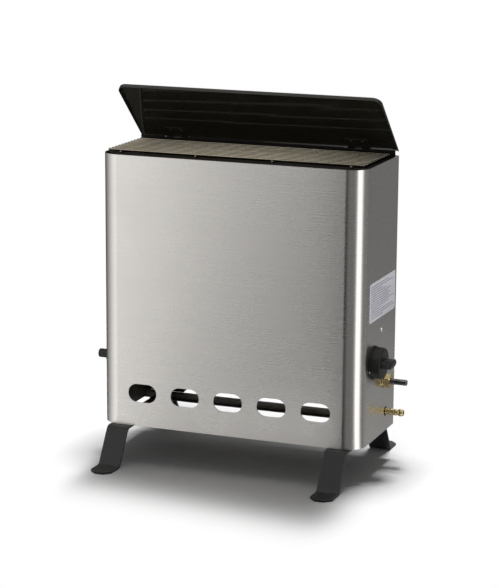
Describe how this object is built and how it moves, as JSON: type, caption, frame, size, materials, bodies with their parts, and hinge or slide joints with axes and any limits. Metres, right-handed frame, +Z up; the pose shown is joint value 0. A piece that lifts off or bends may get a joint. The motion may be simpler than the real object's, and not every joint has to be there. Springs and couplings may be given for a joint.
{
  "type": "portable gas cabinet heater",
  "caption": "Portable gas heater: a slim steel cabinet on two bent legs, wire grille on top, hinged lid, side knob, push rod and hose nozzle.",
  "frame": {"origin": "on the floor, under the centre of the whole outline: the cabinet's middle lies 7.5 mm to the left of it", "axes": "+X to the control side (the viewer's right), +Y to the rear where the lid is hinged, +Z up"},
  "size_m": [0.419, 0.289, 0.5044],
  "materials": {
    "stainless": "stainless steel, finely brushed",
    "black_sheet": "matt black stove paint",
    "black_enamel": "high-gloss black enamel",
    "leg_paint": "satin dark grey powder coat",
    "wire_plating": "nickel-plated wire, slightly yellowed",
    "zinc_steel": "zinc-plated steel",
    "cast_alloy": "die-cast alloy",
    "brass": "turned brass",
    "copper": "drawn copper tube",
    "black_plastic": "moulded black plastic",
    "glossy_plastic": "polished dark rod",
    "ceramic": "glazed white ceramic",
    "lead_sleeve": "silicone sleeve",
    "label": "satin printed foil without text"
  },
  "bodies": {
    "cabinet": {"outer_wrap": "stainless", "rear_panel": "black_sheet", "side_liner_left": "black_sheet", "side_liner_right": "black_sheet", "front_liner": "black_sheet", "rear_base_rail": "black_sheet", "front_base_rail": "black_sheet", "top_frame": "black_sheet", "grille": "wire_plating", "rear_screw_lower_left": "zinc_steel", "rear_screw_lower_right": "zinc_steel", "rear_screw_upper_left": "zinc_steel", "rear_screw_upper_right": "zinc_steel", "label_plate": "label", "leg_strap_left": "leg_paint", "leg_strap_right": "leg_paint", "leg_rivet_left_front": "zinc_steel", "leg_rivet_left_rear": "zinc_steel", "leg_rivet_right_front": "zinc_steel", "leg_rivet_right_rear": "zinc_steel", "hinge_bracket_left": "black_sheet", "hinge_bracket_right": "black_sheet", "hinge_pin_left": "zinc_steel", "hinge_pin_right": "zinc_steel", "control_valve": "cast_alloy", "control_valve_nut": "zinc_steel", "knob_bezel": "black_plastic", "flame_failure_valve": "brass", "valve_washer": "brass", "valve_nut": "brass", "push_rod_spring": "zinc_steel", "hose_nozzle": "brass", "inlet_elbow": "brass", "inlet_pipe": "copper", "link_pipe": "copper", "burner_pipe": "copper", "burner_tube": "stainless", "injector": "brass", "burner_bracket_left": "zinc_steel", "burner_bracket_right": "zinc_steel", "spark_electrode": "ceramic", "thermocouple_probe": "copper", "thermocouple_lead": "copper", "ignition_lead": "lead_sleeve", "piezo_igniter": "black_plastic", "piezo_nut": "black_plastic", "piezo_spring": "zinc_steel"},
    "lid": {"lid": "black_enamel", "lid_leaf_left": "black_sheet", "lid_leaf_right": "black_sheet", "lid_rivet_left_inner": "black_sheet", "lid_rivet_left_outer": "black_sheet", "lid_rivet_right_inner": "black_sheet", "lid_rivet_right_outer": "black_sheet"},
    "knob": {"control_knob": "black_plastic", "control_spindle": "zinc_steel"},
    "push_rod": {"push_rod": "glossy_plastic"},
    "piezo_button": {"piezo_button": "black_plastic"}
  },
  "joints": [
    {"name": "lid_hinge", "type": "hinge", "parent": "cabinet", "child": "lid", "pos_m": [-0.0075, 0.068, 0.4233], "axis": [-1, 0, 0], "range_deg": [-42.4, 46]},
    {"name": "knob_turn", "type": "hinge", "parent": "cabinet", "child": "knob", "pos_m": [0.1775, -0.0196, 0.157], "axis": [1, 0, 0], "range_deg": [0, 180]},
    {"name": "push_rod_slide", "type": "slide", "parent": "cabinet", "child": "push_rod", "axis": [-1, 0, 0], "range_m": [0, 0.006], "stiffness_N_per_m": 2000, "springref_m": -0.002, "deforming": ["push_rod_spring"]},
    {"name": "piezo_button_slide", "type": "slide", "parent": "cabinet", "child": "piezo_button", "axis": [1, 0, 0], "range_m": [0, 0.006], "stiffness_N_per_m": 2500, "springref_m": -0.001, "deforming": ["piezo_spring"]}
  ]
}
